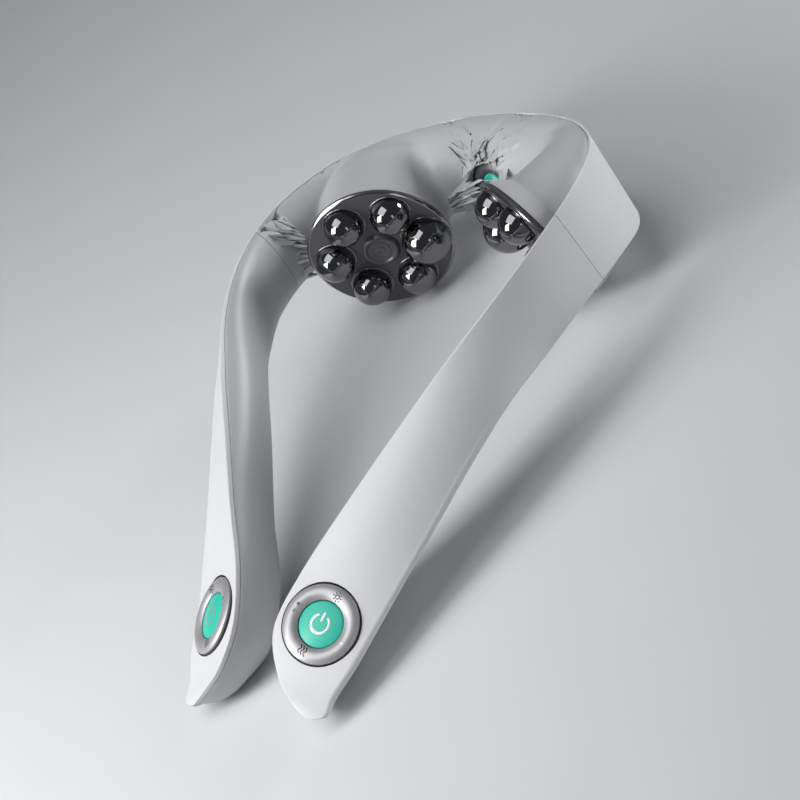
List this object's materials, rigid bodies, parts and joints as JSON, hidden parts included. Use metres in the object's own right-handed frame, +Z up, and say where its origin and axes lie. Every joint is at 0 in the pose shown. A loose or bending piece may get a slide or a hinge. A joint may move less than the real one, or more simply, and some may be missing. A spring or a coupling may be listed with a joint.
{
  "type": "neck massager",
  "caption": "Shiatsu neck massager: horseshoe band of white shells worn round the neck, with turning heads of chrome domes inside its back and a rocker dial on each arm end.",
  "frame": {"origin": "centre of the bounding box in X and Y, on the resting plane in Z", "axes": "+X to the wearer-facing right side of the band, +Y from the arm tips to the middle of the back, +Z up from the resting plane; the two halves mirror across X = 0"},
  "size_m": [0.2164, 0.3399, 0.0806],
  "materials": {
    "pearl_white": "satin pearl white moulding",
    "satin_grey": "satin light grey moulding",
    "gunmetal": "glossy dark gunmetal",
    "chrome": "mirror-bright plating",
    "satin_metal": "satin silver",
    "teal": "semi-gloss teal",
    "black_rubber": "matte seal",
    "gear_nylon": "natural nylon",
    "steel": "plain steel",
    "board_green": "printed board",
    "cell_blue": "shrink wrap",
    "inner_black": "moulded black plastic"
  },
  "bodies": {
    "frame": {"back_cover": "pearl_white", "back_inner_shell": "satin_grey", "badge_bezel": "gunmetal", "badge_lens": "teal", "badge_light_board": "board_green", "main_board": "board_green", "right_charge_port": "steel", "right_arm_cover": "pearl_white", "right_arm_keel_shell": "satin_grey", "right_spindle_bush": "inner_black", "right_idler_axle": "steel", "right_gear_plate": "inner_black", "right_drive_motor": "steel", "right_dial_gasket": "black_rubber", "right_switch_board": "board_green", "right_battery_cell": "cell_blue", "right_arm_spigot": "inner_black", "left_arm_cover": "pearl_white", "left_arm_keel_shell": "satin_grey", "left_spindle_bush": "inner_black", "left_idler_axle": "steel", "left_gear_plate": "inner_black", "left_drive_motor": "steel", "left_dial_gasket": "black_rubber", "left_switch_board": "board_green", "left_battery_cell": "cell_blue", "left_arm_spigot": "inner_black"},
    "right_head": {"right_head_plate": "gunmetal", "right_massage_dome_1": "chrome", "right_massage_dome_2": "chrome", "right_massage_dome_3": "chrome", "right_massage_dome_4": "chrome", "right_massage_dome_5": "chrome", "right_massage_dome_6": "chrome", "right_hub_cap": "gunmetal", "right_head_spindle": "steel", "right_head_gear": "gear_nylon"},
    "right_idler": {"right_idler_gear": "gear_nylon"},
    "right_pinion": {"right_motor_pinion": "steel"},
    "right_carrier": {"right_ring_carrier": "inner_black"},
    "right_ring": {"right_dial_ring": "satin_metal"},
    "right_button": {"right_centre_button": "teal"},
    "left_head": {"left_head_plate": "gunmetal", "left_massage_dome_1": "chrome", "left_massage_dome_2": "chrome", "left_massage_dome_3": "chrome", "left_massage_dome_4": "chrome", "left_massage_dome_5": "chrome", "left_massage_dome_6": "chrome", "left_hub_cap": "gunmetal", "left_head_spindle": "steel", "left_head_gear": "gear_nylon"},
    "left_idler": {"left_idler_gear": "gear_nylon"},
    "left_pinion": {"left_motor_pinion": "steel"},
    "left_carrier": {"left_ring_carrier": "inner_black"},
    "left_ring": {"left_dial_ring": "satin_metal"},
    "left_button": {"left_centre_button": "teal"}
  },
  "joints": [
    {"name": "right_head_spin", "type": "hinge", "parent": "frame", "child": "right_head", "pos_m": [0.055, 0.10187, 0.03977], "axis": [-0.4802, -0.8765, -0.0337], "continuous": true},
    {"name": "right_idler_spin", "type": "hinge", "parent": "frame", "child": "right_idler", "pos_m": [0.04305, 0.10796, 0.05178], "axis": [-0.4802, -0.8765, -0.0337], "continuous": true},
    {"name": "right_pinion_spin", "type": "hinge", "parent": "frame", "child": "right_pinion", "pos_m": [0.04097, 0.10955, 0.04007], "axis": [-0.4802, -0.8765, -0.0337], "continuous": true},
    {"name": "right_ring_rock_across", "type": "hinge", "parent": "frame", "child": "right_carrier", "pos_m": [0.03618, -0.12781, 0.02793], "axis": [0.2356, 0.9411, 0.2426], "range_deg": [-1.5, 1.5], "stiffness_Nm_per_rad": 0.86},
    {"name": "right_ring_rock_along", "type": "hinge", "parent": "right_carrier", "child": "right_ring", "pos_m": [0.03618, -0.12781, 0.02793], "axis": [0.8993, -0.1165, -0.4216], "range_deg": [-1.5, 1.5], "stiffness_Nm_per_rad": 0.86},
    {"name": "right_button_press", "type": "slide", "parent": "frame", "child": "right_button", "axis": [0.3685, -0.3175, 0.8737], "range_m": [-0.001, 0], "stiffness_N_per_m": 1500},
    {"name": "left_head_spin", "type": "hinge", "parent": "frame", "child": "left_head", "pos_m": [-0.055, 0.10187, 0.03977], "axis": [0.4802, -0.8765, -0.0337], "continuous": true},
    {"name": "left_idler_spin", "type": "hinge", "parent": "frame", "child": "left_idler", "pos_m": [-0.04305, 0.10796, 0.05178], "axis": [0.4802, -0.8765, -0.0337], "continuous": true},
    {"name": "left_pinion_spin", "type": "hinge", "parent": "frame", "child": "left_pinion", "pos_m": [-0.04097, 0.10955, 0.04007], "axis": [0.4802, -0.8765, -0.0337], "continuous": true},
    {"name": "left_ring_rock_across", "type": "hinge", "parent": "frame", "child": "left_carrier", "pos_m": [-0.03618, -0.12781, 0.02793], "axis": [-0.2356, 0.9411, 0.2426], "range_deg": [-1.5, 1.5], "stiffness_Nm_per_rad": 0.86},
    {"name": "left_ring_rock_along", "type": "hinge", "parent": "left_carrier", "child": "left_ring", "pos_m": [-0.03618, -0.12781, 0.02793], "axis": [0.8993, 0.1165, 0.4216], "range_deg": [-1.5, 1.5], "stiffness_Nm_per_rad": 0.86},
    {"name": "left_button_press", "type": "slide", "parent": "frame", "child": "left_button", "axis": [-0.3685, -0.3175, 0.8737], "range_m": [-0.001, 0], "stiffness_N_per_m": 1500}
  ],
  "couplings": [
    {"joint": "right_idler_spin", "follows": "right_head_spin", "ratio": -3},
    {"joint": "right_pinion_spin", "follows": "right_head_spin", "ratio": 9},
    {"joint": "left_idler_spin", "follows": "left_head_spin", "ratio": -3},
    {"joint": "left_pinion_spin", "follows": "left_head_spin", "ratio": 9}
  ]
}
